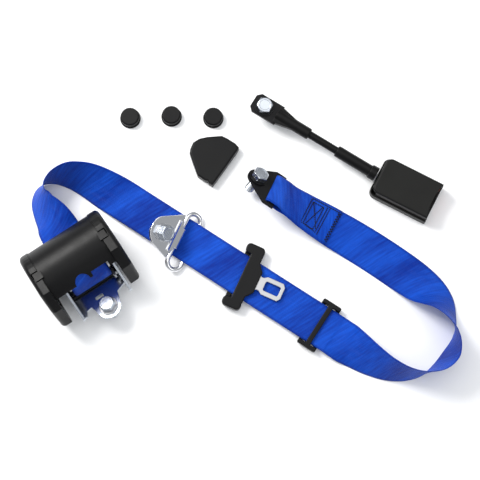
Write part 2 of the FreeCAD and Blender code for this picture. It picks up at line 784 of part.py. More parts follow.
def tongue_blade():
    """The steel blade, with the window that the buckle's latch drops into."""
    half = "blade_width / 2"
    neck = "blade_neck / 2"
    side = [(2, half), (f"{BLADE_START} - 2", half), (f"{BLADE_START} + 1", neck), (f"{BLADE_START} + 4", neck)]
    side += [(f"{BLADE_START} + 8", half), (f"{BLADE_TIP} - 3", half), (BLADE_TIP, f"{half} - 4")]
    outline = [(along_x, f"-({up})") for along_x, up in side] + side[::-1]
    sheet = plate(outline, "blade_thick", "XY", BLADE_LEVEL)
    window = box(("window_length", "window_width", 12), (f"{BLADE_TIP} - blade_rim - window_length / 2", 0, 0))
    node("tongue_blade", cut(sheet, rounded(window, 2, runs("z"))), TONGUE)


KEEPER_PLACE = (90.5, -106.8)
KEEPER = Placement(Vector(*KEEPER_PLACE, SIZES["strap_height"]), Rotation(Vector(0, 0, 1), STRAP_YAW))


def web_keeper():
    """A three-bar slide: the middle bar over the strap and the outer bars under it."""
    half = "(webbing_width / 2 + edge_gap)"
    wide = f"2 * {half} + 2"
    level = f"({BAR_LEVEL} + keeper_thick / 2)"
    parts = [box(("keeper_middle", wide, "keeper_thick"), (0, 0, level))]
    for side in (-1, 1):
        outer = (f"{side} * (keeper_depth - keeper_bar) / 2", 0, f"-{level}")
        parts.append(box(("keeper_bar", wide, "keeper_thick"), outer))
        tall = f"2 * (keeper_thick + {BAR_LEVEL})"
        rail = box(("keeper_depth", "keeper_rail", tall), (0, f"{side} * ({half} + keeper_rail / 2)", 0))
        parts.append(rounded(rail, 2, runs("z")))
    node("web_keeper", fuse(*parts), KEEPER)


# Anchor plate ----------------------------------------------------------------------------------

def anchor_plate():
    """The bar in the webbing's eye, the slot, and the round end with its hole. X runs to the hole."""
    bar = "(2 * eye_gap + webbing_thick + 0.2)"
    slot = f"({bar} + anchor_bar + anchor_slot / 2)"
    hole = "(anchor_reach + 4)"
    half = "(webbing_width / 2 + edge_gap + 3)"
    end = [(f"{across} + {hole}", up) for across, up in polygon_round("anchor_round", -62, 62, 12)]
    right = [(bar, f"-{half}"), (f"{slot} + 4", f"-{half}")]
    left = [(f"{slot} + 4", half), (bar, half)]
    sheet = plate(right + end + left, "anchor_sheet", "XY", 0)
    opening = box(("anchor_slot", "webbing_width + 2 * edge_gap", 20), (slot, 0, 0))
    bore = rod("shoulder_radius + running_gap", 20, (hole, 0, 0))
    node("anchor_plate", cut(sheet, opening, bore), EYE)


ANCHOR_BOLT = EYE * Placement(Vector(value("anchor_reach + 4"), 0, value("anchor_sheet / 2")), Rotation())


# Buckle and stalk ------------------------------------------------------------------------------

STALK_YAW = -31.2
STALK_START = (27.5, 151.5)
STALK_LENGTH = "(tab_reach + 2 * ferrule_length + cable_length + boot_length)"
TAB_HEIGHT = free_shank("anchor_sheet") + 0.5
STALK_FALL = TAB_HEIGHT + (SIZES["anchor_sheet"] - SIZES["buckle_depth"]) / 2
STALK_PITCH = math.degrees(math.asin(STALK_FALL / value(STALK_LENGTH)))
STALK_TURN = Rotation(Vector(0, 0, 1), STALK_YAW) * Rotation(Vector(0, 1, 0), STALK_PITCH)
STALK = Placement(Vector(*STALK_START, TAB_HEIGHT), STALK_TURN)
TAB_BOLT = STALK * Placement(Vector(0, 0, value("anchor_sheet")), Rotation())
FLEX = "(tab_reach + ferrule_length + cable_length / 2)"
BUCKLE_YAW = -27.7
BUCKLE_START = STALK.multVec(Vector(value(STALK_LENGTH), 0, value("anchor_sheet / 2")))
BUCKLE_START += heading(BUCKLE_YAW) * 1.2
BUCKLE_START.z = SIZES["buckle_depth"] / 2 + 0.1
BUCKLE = Placement(BUCKLE_START, Rotation(Vector(0, 0, 1), BUCKLE_YAW))


def stalk():
    """Tab, tapered sleeve, cable, second sleeve and the soft boot at the buckle's end."""
    middle = "anchor_sheet / 2"
    half = "tab_width / 2"
    side = [("-tab_tail", f"{half} - 5"), ("-tab_tail + 5", half), ("tab_reach + 4", half)]
    outline = [(along_x, f"-({up})") for along_x, up in side] + side[::-1]
    tab = plate(outline, "anchor_sheet", "XY", middle)
    node("stalk_tab", cut(tab, rod("shoulder_radius + running_gap", 20, (0, 0, 0))), STALK)
    first = rod("ferrule_radius", "ferrule_length", ("tab_reach + ferrule_length / 2", 0, middle), "x")
    first = rounded(first, 2, rims("x", "tab_reach + ferrule_length"))
    side = [("tab_reach", f"{half} - 1"), ("tab_reach + taper_length", "ferrule_radius - 0.6")]
    outline = [(along_x, f"-({up})") for along_x, up in side] + side[::-1]
    taper = plate(outline, "taper_thick", "XY", middle)
    root = box((14, 40, "anchor_sheet"), ("tab_reach - 3", 0, middle))
    node("ferrule_near", cut(fuse(first, taper), root), STALK)
    start = "tab_reach + ferrule_length"
    node("stalk_cable", rod("cable_radius", "cable_length", (f"{start} + cable_length / 2", 0, middle), "x"), STALK)
    start = f"{start} + cable_length"
    second = rod("ferrule_radius", "ferrule_length", (f"{start} + ferrule_length / 2", 0, middle), "x")
    node("ferrule_far", rounded(second, 2, rims("x", start)), STALK)
    start = f"{start} + ferrule_length"
    boot = rod("ferrule_radius + 1.6", "boot_length", (f"{start} + boot_length / 2", 0, middle), "x")
    node("buckle_boot", rounded(boot, 1.5, rims("x", start)), STALK)


def near_end(reach):
    """Picks upright edges at the stalk's end of the case."""
    upright = runs("z")

    def pick(edge):
        return upright(edge) and edge.BoundBox.XMax < value(reach)
    return pick


def mouth_arc(depth):
    """The wide arc that hollows the mouth's end by a depth."""
    return rod("scoop_radius", "buckle_depth + 2", (f"buckle_length + scoop_radius - {depth}", 0, 0))


def buckle_shell(label, side):
    """Half of the moulded case, hollow, open at the mouth."""
    height = "buckle_depth / 2 - 0.05"
    middle = f"{side} * ({height} + 0.1) / 2"
    inset = "buckle_step" if side > 0 else "0"
    size = (f"buckle_length - {inset}", f"buckle_width - 2 * {inset}", height)
    block = box(size, (f"(buckle_length + {inset}) / 2", 0, middle))
    block = rounded(block, 8, near_end(f"{inset} + 1"))
    block = rounded(block, 2.5, rims("z", f"{side} * (buckle_depth / 2)"))
    room = ("buckle_length - 2 * buckle_wall", "buckle_width - 2 * buckle_wall", "buckle_depth - 2 * buckle_wall")
    inside = rounded(box(room, ("buckle_length / 2", 0, 0)), 3, runs("z"))
    mouth = box((20, "buckle_width - 9", "2 * button_height + 3.5"), ("buckle_length", 0, 0))
    shell = cut(block, inside, mouth)
    if side > 0:
        shell = cut(shell, mouth_arc("scoop_depth"))
    node(label, shell, BUCKLE)


def buckle_inside():
    """Steel channel, latch, ejector, push button and the two springs."""
    floor = "(-buckle_depth / 2 + buckle_wall + 1.6)"
    channel = box(("buckle_length - 12", "blade_width + 8", 2.4), ("buckle_length / 2", 0, f"{floor} + 1.2"))
    walls = []
    for side in (-1, 1):
        centre = ("buckle_length / 2", f"{side} * (blade_width / 2 + 2.8)", f"{floor} + 5.2")
        walls.append(box(("buckle_length - 16", 2.4, 8), centre))
    node("buckle_frame", fuse(channel, *walls), BUCKLE)
    width = "blade_width + 13"
    front = "(buckle_length - 1.2)"
    button_level = "button_height / 2 + 0.9"
    button = box((14, width, "button_height"), (f"{front} - 7", 0, button_level))
    node("press_button", cut(button, mouth_arc("scoop_depth - 1")), BUCKLE)
    post = box((3, "window_width - 2", 7), ("buckle_length / 2", 0, -1.2))
    node("latch_plate", post, BUCKLE)
    slide_level = -3.2
    pusher = box((7, 12, 3.6), ("buckle_length / 2 - 8", 0, slide_level))
    node("ejector", pusher, BUCKLE)
    spring = coil("spring_radius - 0.8", "spring_wire", "buckle_length / 2 - 18", 9, (5.5, 0, slide_level))
    node("ejector_spring", spring, BUCKLE)
    spring = coil("spring_radius", "spring_wire", "buckle_length / 2 - 22", 7, (40, 0, button_level))
    node("button_spring", spring, BUCKLE)


# Loose covers ----------------------------------------------------------------------------------

CAP_PLACES = [(-133, 144), (-83.5, 146.2), (-33.3, 144.2)]
LOOP_COVER = Placement(Vector(-28.5, 89.5, 0.1), Rotation())


def bolt_caps():
    """Caps that press over the bolts' hexagons, mouth down."""
    corner = "(head_flats / sqrt(3) + cap_bore_gap)"
    body = "bolt_cap_radius - 1.1"
    for number, (across, up) in enumerate(CAP_PLACES, start=1):
        hollow = [(0, "head_height + 0.4"), (corner, "head_height + 0.4"), (corner, 0)]
        flange = [("bolt_cap_radius", 0), ("bolt_cap_radius", 1.8), (body, 2.8)]
        crown = [(body, "bolt_cap_height - 1.4"), (f"{body} - 1.4", "bolt_cap_height"), (0, "bolt_cap_height")]
        node(f"bolt_cap_{number}", spun(hollow + flange + crown), Placement(Vector(across, up, 0.1), Rotation()))


COVER_OUTLINE = [
    (-5.6, -30.6), (-2.2, -26.5), (24.7, 12.6), (26, 16), (22, 20.7), (12.6, 26.8), (5.8, 30.2),
    (-11.6, 28.9), (-21, 26.8), (-28.4, 22.1), (-31.8, 14), (-32.5, 8.6), (-28.4, -3.6), (-23, -18.4),
    (-14.3, -24.5), (-11, -25.2), (-9.6, -27.9),
]


def loop_cover():
    """The hollow cover for the pillar loop, mouth down: a fan with one straight side."""
    block = plate(COVER_OUTLINE, "loop_cover_height", "XY", "loop_cover_height / 2")
    block = rounded(block, 2.4, rims("z", "loop_cover_height"))
    shrink = "(1 - loop_cover_wall / 26)"
    inner = [(f"{across} * {shrink}", f"{up} * {shrink}") for across, up in COVER_OUTLINE]
    depth = "(loop_cover_height - loop_cover_wall)"
    room = plate(inner, depth, "XY", f"{depth} / 2 - 0.05")
    node("loop_cover", cut(block, room), LOOP_COVER)


# The kit ---------------------------------------------------------------------------------------

webbing()
webbing_eye()
reel_metal()
reel_cover()
end_cap("end_cap_spring", -1, "cover_left", "cap_left", 5)
end_cap("end_cap_sensor", 1, "cover_right", "cap_right", 5)
spool()
lock_parts()
sensor()
clock_spring()
bolt("reel", REEL_BOLT, "reel_sheet")
wire_loop()
loop_plate()
bolt("pillar", PILLAR_BOLT, "anchor_sheet")
tongue_cover()
tongue_blade()
web_keeper()
anchor_plate()
bolt("anchor", ANCHOR_BOLT, "anchor_sheet")
stalk()
bolt("stalk", TAB_BOLT, "anchor_sheet")
buckle_shell("buckle_top", 1)
buckle_shell("buckle_bottom", -1)
buckle_inside()
bolt_caps()
loop_cover()

for item, group in NODES.values():
    item.Placement = group * item.Placement
doc.recompute()

spans = [item.Shape.BoundBox for item, group in NODES.values()]
middle_x = (min(span.XMin for span in spans) + max(span.XMax for span in spans)) / 2
middle_y = (min(span.YMin for span in spans) + max(span.YMax for span in spans)) / 2
SHIFT = Placement(Vector(-middle_x, -middle_y, 0), Rotation())

for item in doc.Objects:
    if {"Invalid", "Error"} & set(item.State):
        raise RuntimeError(f"{item.Name} did not build: {item.State}")

os.makedirs("parts", exist_ok=True)
for label, (item, group) in NODES.items():
    item.Placement = SHIFT * item.Placement
    if item.Shape.isNull() or not item.Shape.isValid() or item.Shape.Volume <= 0:
        raise RuntimeError(f"{label} is not a sound solid")
    item.Shape.exportStep(f"parts/{label}.step")
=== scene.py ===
import json
import math
import bmesh
import bpy
from mathutils import Matrix, Vector


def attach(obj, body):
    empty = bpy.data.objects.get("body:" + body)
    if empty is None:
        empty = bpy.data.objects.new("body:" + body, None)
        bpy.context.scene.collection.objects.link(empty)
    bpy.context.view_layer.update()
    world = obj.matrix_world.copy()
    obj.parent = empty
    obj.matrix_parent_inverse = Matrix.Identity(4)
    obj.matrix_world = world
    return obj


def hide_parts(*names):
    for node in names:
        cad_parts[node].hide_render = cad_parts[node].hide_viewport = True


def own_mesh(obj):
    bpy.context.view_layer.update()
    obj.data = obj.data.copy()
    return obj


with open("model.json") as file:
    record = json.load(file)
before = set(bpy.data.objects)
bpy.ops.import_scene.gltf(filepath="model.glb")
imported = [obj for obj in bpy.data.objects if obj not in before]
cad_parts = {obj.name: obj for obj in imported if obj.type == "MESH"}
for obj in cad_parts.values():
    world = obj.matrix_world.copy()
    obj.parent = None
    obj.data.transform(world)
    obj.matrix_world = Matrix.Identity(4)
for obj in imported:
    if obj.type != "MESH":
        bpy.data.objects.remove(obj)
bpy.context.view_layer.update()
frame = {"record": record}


# The light is soft and even, with a window at the back left that gives the metal and the webbing their sheen.
# The webbing's paler streaks are painted sheen in its colour.

MM = 0.001
JOINTS = {joint["name"]: joint for joint in frame["record"]["behaviour"]["joints"]}


def joint_at(name):
    return Vector(JOINTS[name]["pos_m"])


def joint_way(name):
    return Vector(JOINTS[name]["axis"]).normalized()


REEL = joint_at("spool_spin")
REEL_X = joint_way("spool_spin")
REEL_Z = joint_way("ball_rise")
REEL_Y = REEL_Z.cross(REEL_X)
SHIFT = Vector((REEL.x + 185.4 * MM, REEL.y + 36.4 * MM, 0))

VIEW_HEIGHT = math.radians(79)
VIEW_REACH = 1.4
VIEW_MIDDLE = Vector((-1.2 * MM, -4.7 * MM, 0)) + SHIFT
LENS = 89
SKY_COLOR = (0.93, 0.96, 1, 1)
SKY_STRENGTH = 0.55
SKY_IN_REFLECTIONS = 0.42


def placed(name, data):
    """A new object in the scene's collection."""
    item = bpy.data.objects.new(name, data)
    bpy.context.collection.objects.link(item)
    return item


def look_at(item, spot, target):
    item.location = spot
    item.rotation_euler = (target - spot).to_track_quat("-Z", "Y").to_euler()


def make_camera():
    lens = bpy.data.cameras.new("camera")
    lens.lens = LENS
    lens.sensor_width = 36
    item = placed("camera", lens)
    way = Vector((0, -math.cos(VIEW_HEIGHT), math.sin(VIEW_HEIGHT)))
    look_at(item, VIEW_MIDDLE + VIEW_REACH * way, VIEW_MIDDLE)
    bpy.context.scene.camera = item


def make_light(name, spot, size, watts, color=(1, 1, 1)):
    lamp = bpy.data.lights.new(name, "AREA")
    lamp.size = size
    lamp.energy = watts
    lamp.color = color
    look_at(placed(name, lamp), Vector(spot), Vector((0, 0, 0)))


def make_sky():
    """An even white dome, dimmer in reflections so that black and bright metal keep their contrast."""
    sky = bpy.data.worlds.new("sky")
    sky.use_nodes = True
    tree = sky.node_tree
    dome = tree.nodes["Background"]
    dome.inputs["Color"].default_value = SKY_COLOR
    ray = tree.nodes.new("ShaderNodeLightPath")
    dim = tree.nodes.new("ShaderNodeMapRange")
    dim.inputs["To Min"].default_value = SKY_STRENGTH
    dim.inputs["To Max"].default_value = SKY_IN_REFLECTIONS
    tree.links.new(ray.outputs["Is Glossy Ray"], dim.inputs["Value"])
    tree.links.new(dim.outputs["Result"], dome.inputs["Strength"])
    bpy.context.scene.world = sky


def new_material(name, color, roughness, metallic=0.0):
    material = bpy.data.materials.new(name)
    material.use_nodes = True
    shader = material.node_tree.nodes["Principled BSDF"]
    shader.inputs["Base Color"].default_value = (*color, 1)
    shader.inputs["Roughness"].default_value = roughness
    shader.inputs["Metallic"].default_value = metallic
    return material, material.node_tree, shader


def make_table(half=3, white=0.93):
    mesh = bpy.data.meshes.new("floor")
    corners = [(-half, -half, 0), (half, -half, 0), (half, half, 0), (-half, half, 0)]
    mesh.from_pydata(corners, [], [(0, 1, 2, 3)])
    paint, _, _ = new_material("white table", (white, white, white), 0.7)
    mesh.materials.append(paint)
    placed("floor", mesh)


make_camera()
make_table()
make_light("window", (-0.9, 0.7, 1.2), 0.6, 25, (1, 0.99, 0.97))
make_light("fill", (1.0, -0.8, 1.1), 0.8, 3)
make_light("top", (0.1, 0.35, 1.7), 1.9, 13)
make_sky()
bpy.context.scene.view_settings.view_transform = "Standard"


# Reel frame and lock ------------------------------------------------------------------------
# The frame is one folded steel pressing with bright zinc plate. The spool, its ratchet wheels, the pawl and
# the sensor's ball are satin steel. The bar that ties the frame's two sides is black as painted shade, so
# that it sinks into the shadow around it.

def node_object(name):
    return bpy.data.objects[name]


def finished(material, *names):
    """Gives nodes their finish."""
    for name in names:
        mesh = node_object(name).data
        mesh.materials.clear()
        mesh.materials.append(material)


def math_node(tree, operation, first, second=None):
    item = tree.nodes.new("ShaderNodeMath")
    item.operation = operation
    for index, source in enumerate((first, second)):
        if isinstance(source, (int, float)):
            item.inputs[index].default_value = source
        elif source is not None:
            tree.links.new(source, item.inputs[index])
    return item.outputs[0]


def noise(tree, scale, detail, vector=None):
    """Fractal noise; its scale is a number or comes from a socket."""
    item = tree.nodes.new("ShaderNodeTexNoise")
    item.inputs["Detail"].default_value = detail
    if isinstance(scale, (int, float)):
        item.inputs["Scale"].default_value = scale
    else:
        tree.links.new(scale, item.inputs["Scale"])
    if vector is None:
        vector = tree.nodes.new("ShaderNodeTexCoord").outputs["Object"]
    tree.links.new(vector, item.inputs["Vector"])
    return item.outputs["Fac"]


def spread(tree, source, low, high):
    """A mask from 0 to 1 taken to a range whose ends are numbers or sockets."""
    item = tree.nodes.new("ShaderNodeMapRange")
    for socket, end in (("To Min", low), ("To Max", high)):
        if isinstance(end, (int, float)):
            item.inputs[socket].default_value = end
        else:
            tree.links.new(end, item.inputs[socket])
    tree.links.new(source, item.inputs["Value"])
    return item.outputs["Result"]


def mixed(tree, mask, low, high):
    """Two colours mixed by a mask, each a tuple or a socket."""
    item = tree.nodes.new("ShaderNodeMix")
    item.data_type = "RGBA"
    for socket, color in (("A", low), ("B", high)):
        if isinstance(color, tuple):
            item.inputs[socket].default_value = (*color, 1)
        else:
            tree.links.new(color, item.inputs[socket])
    tree.links.new(mask, item.inputs["Factor"])
    return item.outputs["Result"]


def bumped(tree, shader, height, strength, distance, edge=0.0):
    """Relief on the shader's normal, over edges rounded by the given radius."""
    item = tree.nodes.new("ShaderNodeBump")
    item.inputs["Strength"].default_value = strength
    item.inputs["Distance"].default_value = distance
    tree.links.new(height, item.inputs["Height"])
    if edge:
        soft = tree.nodes.new("ShaderNodeBevel")
        soft.samples = 4
        soft.inputs["Radius"].default_value = edge
        tree.links.new(soft.outputs["Normal"], item.inputs["Normal"])
    tree.links.new(item.outputs["Normal"], shader.inputs["Normal"])


PATCH_FINENESS = 35
RUB_FINENESS = 90
SMOOTHEST = 0.8
ROUGHEST = 1.25
GRAIN_DISTANCE = 0.0003
METAL_SPECULAR = 0.5
MOULDING_SPECULAR = 0.16


def make_grain():
    """Fine grain for a bump, and patches a little paler and rougher than the rest."""
    tree = bpy.data.node_groups.new("surface grain", "ShaderNodeTree")
    for label, kind in (("Color", "Color"), ("Pale", "Color"), ("Roughness", "Float"), ("Fineness", "Float")):
        tree.interface.new_socket(label, in_out="INPUT", socket_type="NodeSocket" + kind)
    for label, kind in (("Color", "Color"), ("Roughness", "Float"), ("Height", "Float")):
        tree.interface.new_socket(label, in_out="OUTPUT", socket_type="NodeSocket" + kind)
    entry = tree.nodes.new("NodeGroupInput").outputs
    leave = tree.nodes.new("NodeGroupOutput").inputs
    tree.links.new(mixed(tree, noise(tree, PATCH_FINENESS, 4), entry["Color"], entry["Pale"]), leave["Color"])
    smooth_side = math_node(tree, "MULTIPLY", entry["Roughness"], SMOOTHEST)
    rough_side = math_node(tree, "MULTIPLY", entry["Roughness"], ROUGHEST)
    rubbed = spread(tree, noise(tree, RUB_FINENESS, 5), smooth_side, rough_side)
    tree.links.new(rubbed, leave["Roughness"])
    tree.links.new(noise(tree, entry["Fineness"], 2), leave["Height"])
    return tree


GRAIN = make_grain()


def grained(name, color, pale, roughness, fineness, depth, edge, metallic=0.0):
    """A Principled surface with the grain's colour, roughness and relief, and its edges rounded."""
    material, tree, shader = new_material(name, color, roughness, metallic)
    grain = tree.nodes.new("ShaderNodeGroup")
    grain.node_tree = GRAIN
    grain.inputs["Color"].default_value = (*color, 1)
    grain.inputs["Pale"].default_value = (*pale, 1)
    grain.inputs["Roughness"].default_value = roughness
    grain.inputs["Fineness"].default_value = fineness
    tree.links.new(grain.outputs["Color"], shader.inputs["Base Color"])
    tree.links.new(grain.outputs["Roughness"], shader.inputs["Roughness"])
    shader.inputs["Specular IOR Level"].default_value = METAL_SPECULAR if metallic else MOULDING_SPECULAR
    bumped(tree, shader, grain.outputs["Height"], depth, GRAIN_DISTANCE, edge)
    return material


zinc = grained("bright zinc plate", (0.50, 0.54, 0.60), (0.66, 0.69, 0.73), 0.24, 600, 0.12, 0.0005, 1.0)
satin = grained("satin steel", (0.40, 0.40, 0.41), (0.52, 0.52, 0.53), 0.34, 900, 0.15, 0.0010, 1.0)
paint = grained("black coated steel", (0.004, 0.004, 0.0045), (0.008, 0.008, 0.009), 0.3, 900, 0.15, 0.0005)
finished(zinc, "reel_frame")
finished(satin, "spool", "ratchet_left", "ratchet_right", "lock_pawl", "pawl_pin", "sensor_ball",
         "clock_spring", "reel_washer")
# Painted shade: the spacer bar is black so that it reads as the shadow it stands in.
finished(paint, "spacer_bar")


# Reel covers and sensor mouldings -----------------------------------------------------------
# The reel's curved cover and its two end caps are satin black nylon, moulded and clipped to the
# frame. The car sensor's housing, lever and toothed disc are the same moulding, inside the cap.

shell = grained("satin black moulding", (0.003, 0.003, 0.0035), (0.006, 0.006, 0.006),
                0.36, 1800, 0.2, 0.0007)
finished(shell, "reel_cover", "end_cap_spring", "end_cap_sensor")
finished(shell, "sensor_housing", "sensor_lever", "sensor_disc")


# Webbing ------------------------------------------------------------------------------------
# One ribbon of woven blue polyester, from the reel's mouth to the anchor plate. It turns round the
# plate's bar, and its end is laid back over it and sewn down. Selvedges are woven a little thicker.

WIDTH = 48 * MM
THICK = 1.2 * MM
PANEL = 4.8 * MM
TWILL_PITCH = 2.1 * MM
TWILL_SLANT = 1.9 * MM
CORD_PITCH = 1.2 * MM
SELVEDGE_FROM = 20.8 * MM
SELVEDGE_TO = 21.8 * MM
RIB_SHARE = 0.6
# Painted sheen: how much of it comes in broad bands, and how its streaks are stretched and slanted.
BAND_SHARE = 0.6
STREAK_STRETCH = 0.12
STREAK_SLANT = 0.45


def make_weave():
    """Slanting ribs and lengthwise cords with a mask of painted shade for their grooves, the selvedge, and
    streaks of painted sheen, from a UV in metres.
    """
    tree = bpy.data.node_groups.new("strap weave", "ShaderNodeTree")
    for label in ("Height", "Painted groove shade", "Edge", "Painted sheen"):
        tree.interface.new_socket(label, in_out="OUTPUT", socket_type="NodeSocketFloat")
    leave = tree.nodes.new("NodeGroupOutput").inputs
    coords = tree.nodes.new("ShaderNodeUVMap")
    coords.uv_map = "strap"
    parts = tree.nodes.new("ShaderNodeSeparateXYZ")
    tree.links.new(coords.outputs["UV"], parts.inputs["Vector"])
    across, along = parts.outputs["X"], parts.outputs["Y"]

    def weighed(first, share_first, second, share_second):
        """The sum of two masks, each by its share."""
        return math_node(tree, "ADD", math_node(tree, "MULTIPLY", first, share_first),
                         math_node(tree, "MULTIPLY", second, share_second))

    panel = math_node(tree, "PINGPONG", across, PANEL)
    twill = weighed(along, 2 * math.pi / TWILL_PITCH, panel, 2 * math.pi / TWILL_SLANT)
    ribs = math_node(tree, "SINE", twill)
    cords = math_node(tree, "SINE", math_node(tree, "MULTIPLY", across, 2 * math.pi / CORD_PITCH))
    height = weighed(ribs, RIB_SHARE, cords, 1 - RIB_SHARE)
    tree.links.new(height, leave["Height"])
    # A mask for painted shade: lowest in the weave's grooves, where the deeper blue is painted.
    tree.links.new(spread(tree, height, 0.35, 0.65), leave["Painted groove shade"])

    # A mask of the selvedges, where shade is painted.
    edge = tree.nodes.new("ShaderNodeMapRange")
    edge.inputs["From Min"].default_value = SELVEDGE_FROM
    edge.inputs["From Max"].default_value = SELVEDGE_TO
    tree.links.new(math_node(tree, "ABSOLUTE", across), edge.inputs["Value"])
    tree.links.new(edge.outputs["Result"], leave["Edge"])

    # Painted sheen: broad slanting bands and fine streaks along the strap.
    stretched = tree.nodes.new("ShaderNodeCombineXYZ")
    slanted = math_node(tree, "ADD", along, math_node(tree, "MULTIPLY", across, STREAK_SLANT))
    tree.links.new(math_node(tree, "MULTIPLY", across, STREAK_STRETCH), stretched.inputs["X"])
    tree.links.new(slanted, stretched.inputs["Y"])
    bands = noise(tree, 26, 1, stretched.outputs["Vector"])
    fine = noise(tree, 330, 2, stretched.outputs["Vector"])
    tree.links.new(weighed(bands, BAND_SHARE, fine, 1 - BAND_SHARE), leave["Painted sheen"])
    return tree


def make_webbing():
    """Blue polyester with painted light: shade painted deeper blue in the grooves and along the selvedges,
    and paler slanting streaks of painted sheen where the ribs would catch the light.
    """
    # deep is painted shade, bright is painted sheen, plain is the blue itself.
    deep, plain, bright = (0.0004, 0.018, 0.21), (0.001, 0.034, 0.35), (0.008, 0.115, 0.74)
    material, tree, shader = new_material("blue webbing", plain, 0.5)
    shader.inputs["Specular IOR Level"].default_value = 0.12
    weave = tree.nodes.new("ShaderNodeGroup")
    weave.node_tree = make_weave()
    # Painted sheen: paler streaks mixed into the colour over the painted groove shade.
    painted_sheen_mask = spread(tree, weave.outputs["Painted sheen"], -0.8, 1.4)
    tone = mixed(tree, painted_sheen_mask, mixed(tree, weave.outputs["Painted groove shade"], deep, plain), bright)
    # Painted shade along the selvedges.
    painted_selvedge_shade = math_node(tree, "MULTIPLY", weave.outputs["Edge"], 0.45)
    tree.links.new(mixed(tree, painted_selvedge_shade, tone, deep), shader.inputs["Base Color"])
    tree.links.new(spread(tree, noise(tree, 60, 4), 0.36, 0.52), shader.inputs["Roughness"])
    bumped(tree, shader, weave.outputs["Height"], 0.6, 0.0004)
    return material


# The strap's middle line, in millimetres: across the table, up the table, the height of its lower
# edge, and its bank in degrees. STRAIGHT is the height where the loop, tongue and keeper hold it.
STRAIGHT = 6.8
ROUTE = [
    (-218, 13, 19, -22), (-229.5, 28, 8, -46), (-235.3, 42, 3, -58), (-233, 54.5, 1, -72),
    (-222, 64, 0.2, -92), (-205, 68.7, 0.2, -114), (-190, 67, 0.2, -129), (-175, 61.8, 0.4, -143),
    (-155, 51.2, 1.4, -160), (-137, 40.8, 4.6, -174), (-118, 28.6, STRAIGHT, -180),
    (-96, 14.3, STRAIGHT, -180), (-74, 0, STRAIGHT, -180), (-30, -28.6, STRAIGHT, -180),
    (14, -57.15, STRAIGHT, -180), (58, -85.7, STRAIGHT, -180), (80, -100, STRAIGHT, -180),
    (102, -114.3, STRAIGHT, -180), (108, -118.2, STRAIGHT, -180), (119, -126.1, 5, -172),
    (130, -134, 0.8, -151), (149, -147.5, 0.2, -133), (168, -158, 0.2, -119), (188.5, -164, 0.2, -105),
    (208.5, -163.5, 0.2, -91), (226.5, -155.5, 0.2, -76), (238.5, -143, 0.2, -72),
    (243.8, -131, 0.2, -80), (245.5, -119.5, 0.2, -91), (244, -107, 0.2, -104), (238.3, -93, 0.2, -118),
    (227, -76.5, 0.2, -142), (209, -59.2, 0.2, -168), (187, -41.8, 0.2, -179), (153.4, -18.6, 0.2, -180),
    (125.5, -1.2, 0.4, -178), (101, 13, 1.2, -170), (79, 25.6, 1.8, -159), (63, 35.5, 3.2, -150),
    (48, 44.8, 5.4, -144),
]
MOUTH_REACHES = (34.4, 43)
MOUTH_LEVEL = 3
STEPS = 6
HALF_WIDTH = 24
HALF_THICK = 0.6


def smooth(rows, share):
    """A point between the middle two of four rows, on a smooth curve through them all."""
    square = share * share
    cube = square * share
    return [0.5 * (2 * b + (c - a) * share + (2 * a - 5 * b + 4 * c - d) * square
                   + (3 * b - a - 3 * c + d) * cube) for a, b, c, d in zip(*rows)]


def across_strap(way, roll):
    left = Vector((0, 0, 1)).cross(way).normalized()
    return left * math.cos(roll) + way.cross(left) * math.sin(roll)


def lay_strap():
    """The strap's middle line as (spot, way, side), with side towards the outer selvedge."""
    rows = []
    for reach in MOUTH_REACHES:
        spot = REEL + REEL_Y * reach * MM + REEL_Z * MOUTH_LEVEL * MM - SHIFT
        rows.append((spot.x / MM, spot.y / MM, spot.z / MM, 0))
    rows += ROUTE
    padded = rows[:1] + rows + rows[-1:]
    dense = []
    for index in range(len(rows) - 1):
        dense += [smooth(padded[index:index + 4], step / STEPS) for step in range(STEPS)]
    dense.append(rows[-1])
    spots = []
    for x, y, lift, roll in dense:
        bank = math.radians(roll)
        edge = HALF_WIDTH * abs(math.sin(bank)) + HALF_THICK * abs(math.cos(bank))
        spots.append(Vector((x, y, lift + edge)) * MM + SHIFT)
    befores, afters = spots[:1] + spots[:-1], spots[1:] + spots[-1:]
    ways = [(after - before).normalized() for before, after in zip(befores, afters)]
    return [(spot, way, across_strap(way, math.radians(row[3])))
            for spot, way, row in zip(spots, ways, dense)]


def eased(share):
    share = min(max(share, 0), 1)
    return share * share * (3 - 2 * share)


def upward(way):
    return way if way.z > 0 else -way


LAID = lay_strap()
LAP = 75 * MM
LAP_EASE = 12 * MM
EYE_OPENING = 2.4 * MM
EYE_EASE = 14 * MM
BAR_REACH = 8.5 * MM
BAR_HALF_LENGTH = 7.2 * MM
BAR_HALF_HEIGHT = 3.1 * MM
BAR_STEPS = 24
LAYER_GAP = 0.05 * MM


def ribbon_places():
    """The laid strap, then the turn round the anchor plate's bar, then the lap sewn back over it."""
    spot, way, side = LAID[-1]
    up = upward(side.cross(way).normalized() * -1)
    gaps = [(after[0] - here[0]).length for here, after in zip(LAID, LAID[1:])]
    left = [sum(gaps[index:]) for index in range(len(LAID))]
    lower = []
    upper = []
    for (here, heading, across), ahead in zip(LAID, left):
        rise = upward(across.cross(heading).normalized())
        share = 1 - eased((ahead - LAP) / LAP_EASE)
        apart = THICK / 2 + LAYER_GAP + EYE_OPENING * (1 - eased(ahead / EYE_EASE))
        lower.append((here - rise * apart * share, heading, across))
        if ahead <= LAP:
            upper.append((here + rise * apart, -heading, across))
    bar = spot + way * BAR_REACH
    turn = []
    for step in range(1, BAR_STEPS):
        angle = math.pi * step / BAR_STEPS
        place = bar + way * math.sin(angle) * BAR_HALF_LENGTH - up * math.cos(angle) * BAR_HALF_HEIGHT
        turn.append((place, (way * math.cos(angle) + up * math.sin(angle)).normalized(), side))
    return lower + turn + upper[::-1]


